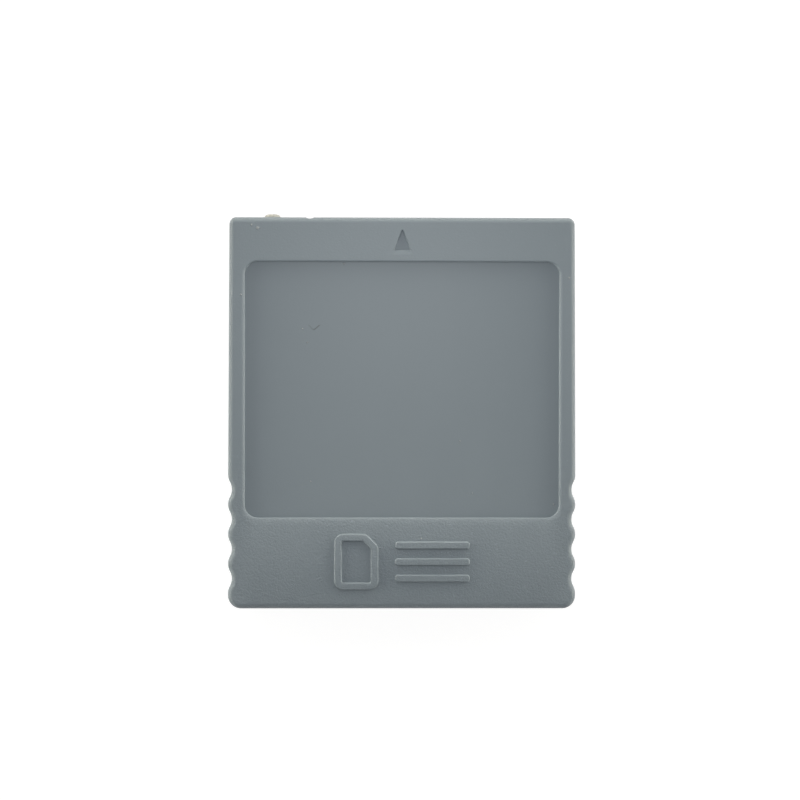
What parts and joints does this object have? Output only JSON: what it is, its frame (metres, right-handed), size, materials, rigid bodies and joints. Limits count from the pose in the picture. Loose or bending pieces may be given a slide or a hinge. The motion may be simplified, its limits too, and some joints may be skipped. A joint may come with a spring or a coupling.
{
  "type": "memory card adapter",
  "caption": "Flat moulded card-shaped adapter with a flash card slot in its grooved grip end and a mouth with gold edge contacts in its other end.",
  "frame": {"origin": "on the flat back, under the middle of the case, so that the adapter lies on its back as it would come to rest", "axes": "+X to the right and +Y towards the connector end as the front face is read, with its arrow pointing along +Y; +Z out of the front face"},
  "size_m": [0.04, 0.0455, 0.0082],
  "materials": {
    "case_plastic": "fine moulded grain, slate grey",
    "board_laminate": "green solder mask on glass laminate",
    "gold_plate": "thin gold plating",
    "socket_plastic": "black glass-filled plastic",
    "cover_steel": "stamped stainless sheet",
    "resistor_body": "black glaze with tinned ends",
    "capacitor_body": "tan ceramic with tinned ends"
  },
  "bodies": {
    "root": {"front_shell": "case_plastic", "rear_shell": "case_plastic", "circuit_board": "board_laminate", "edge_contacts": "gold_plate", "socket_body": "socket_plastic", "socket_cover": "cover_steel", "card_contact_1": "gold_plate", "card_contact_2": "gold_plate", "card_contact_3": "gold_plate", "card_contact_4": "gold_plate", "card_contact_5": "gold_plate", "card_contact_6": "gold_plate", "card_contact_7": "gold_plate", "card_contact_8": "gold_plate", "card_contact_9": "gold_plate", "detect_spring": "gold_plate", "detect_terminal": "gold_plate", "protect_spring": "gold_plate", "protect_terminal": "gold_plate", "resistor_1": "resistor_body", "resistor_2": "resistor_body", "resistor_3": "resistor_body", "decoupling_capacitor": "capacitor_body", "supply_capacitor": "capacitor_body"}
  },
  "joints": []
}
